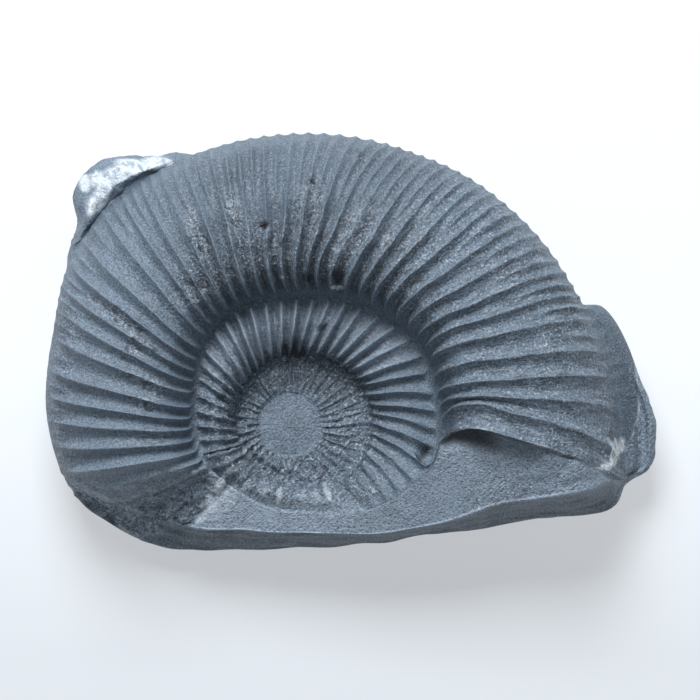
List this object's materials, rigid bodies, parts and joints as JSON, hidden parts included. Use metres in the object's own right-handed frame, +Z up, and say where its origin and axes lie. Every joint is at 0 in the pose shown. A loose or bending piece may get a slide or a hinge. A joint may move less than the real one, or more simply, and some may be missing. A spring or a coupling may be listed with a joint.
{
  "type": "ammonite fossil",
  "caption": "Ribbed ammonite in dark shale, coiled flank up, standing out of its nodule and broken along the front, with a flat underside to rest on.",
  "frame": {"origin": "on the resting plane, under the middle of the stone's outline box", "axes": "+X along the long side, to the right as pictured; +Y to the back; +Z up, out of the coiled flank"},
  "size_m": [0.0898, 0.0602, 0.0286],
  "materials": {
    "shale": "matte dark grey, slightly worn, with pale calcite specks"
  },
  "bodies": {
    "root": {"ammonite_fossil": "shale"}
  },
  "joints": []
}
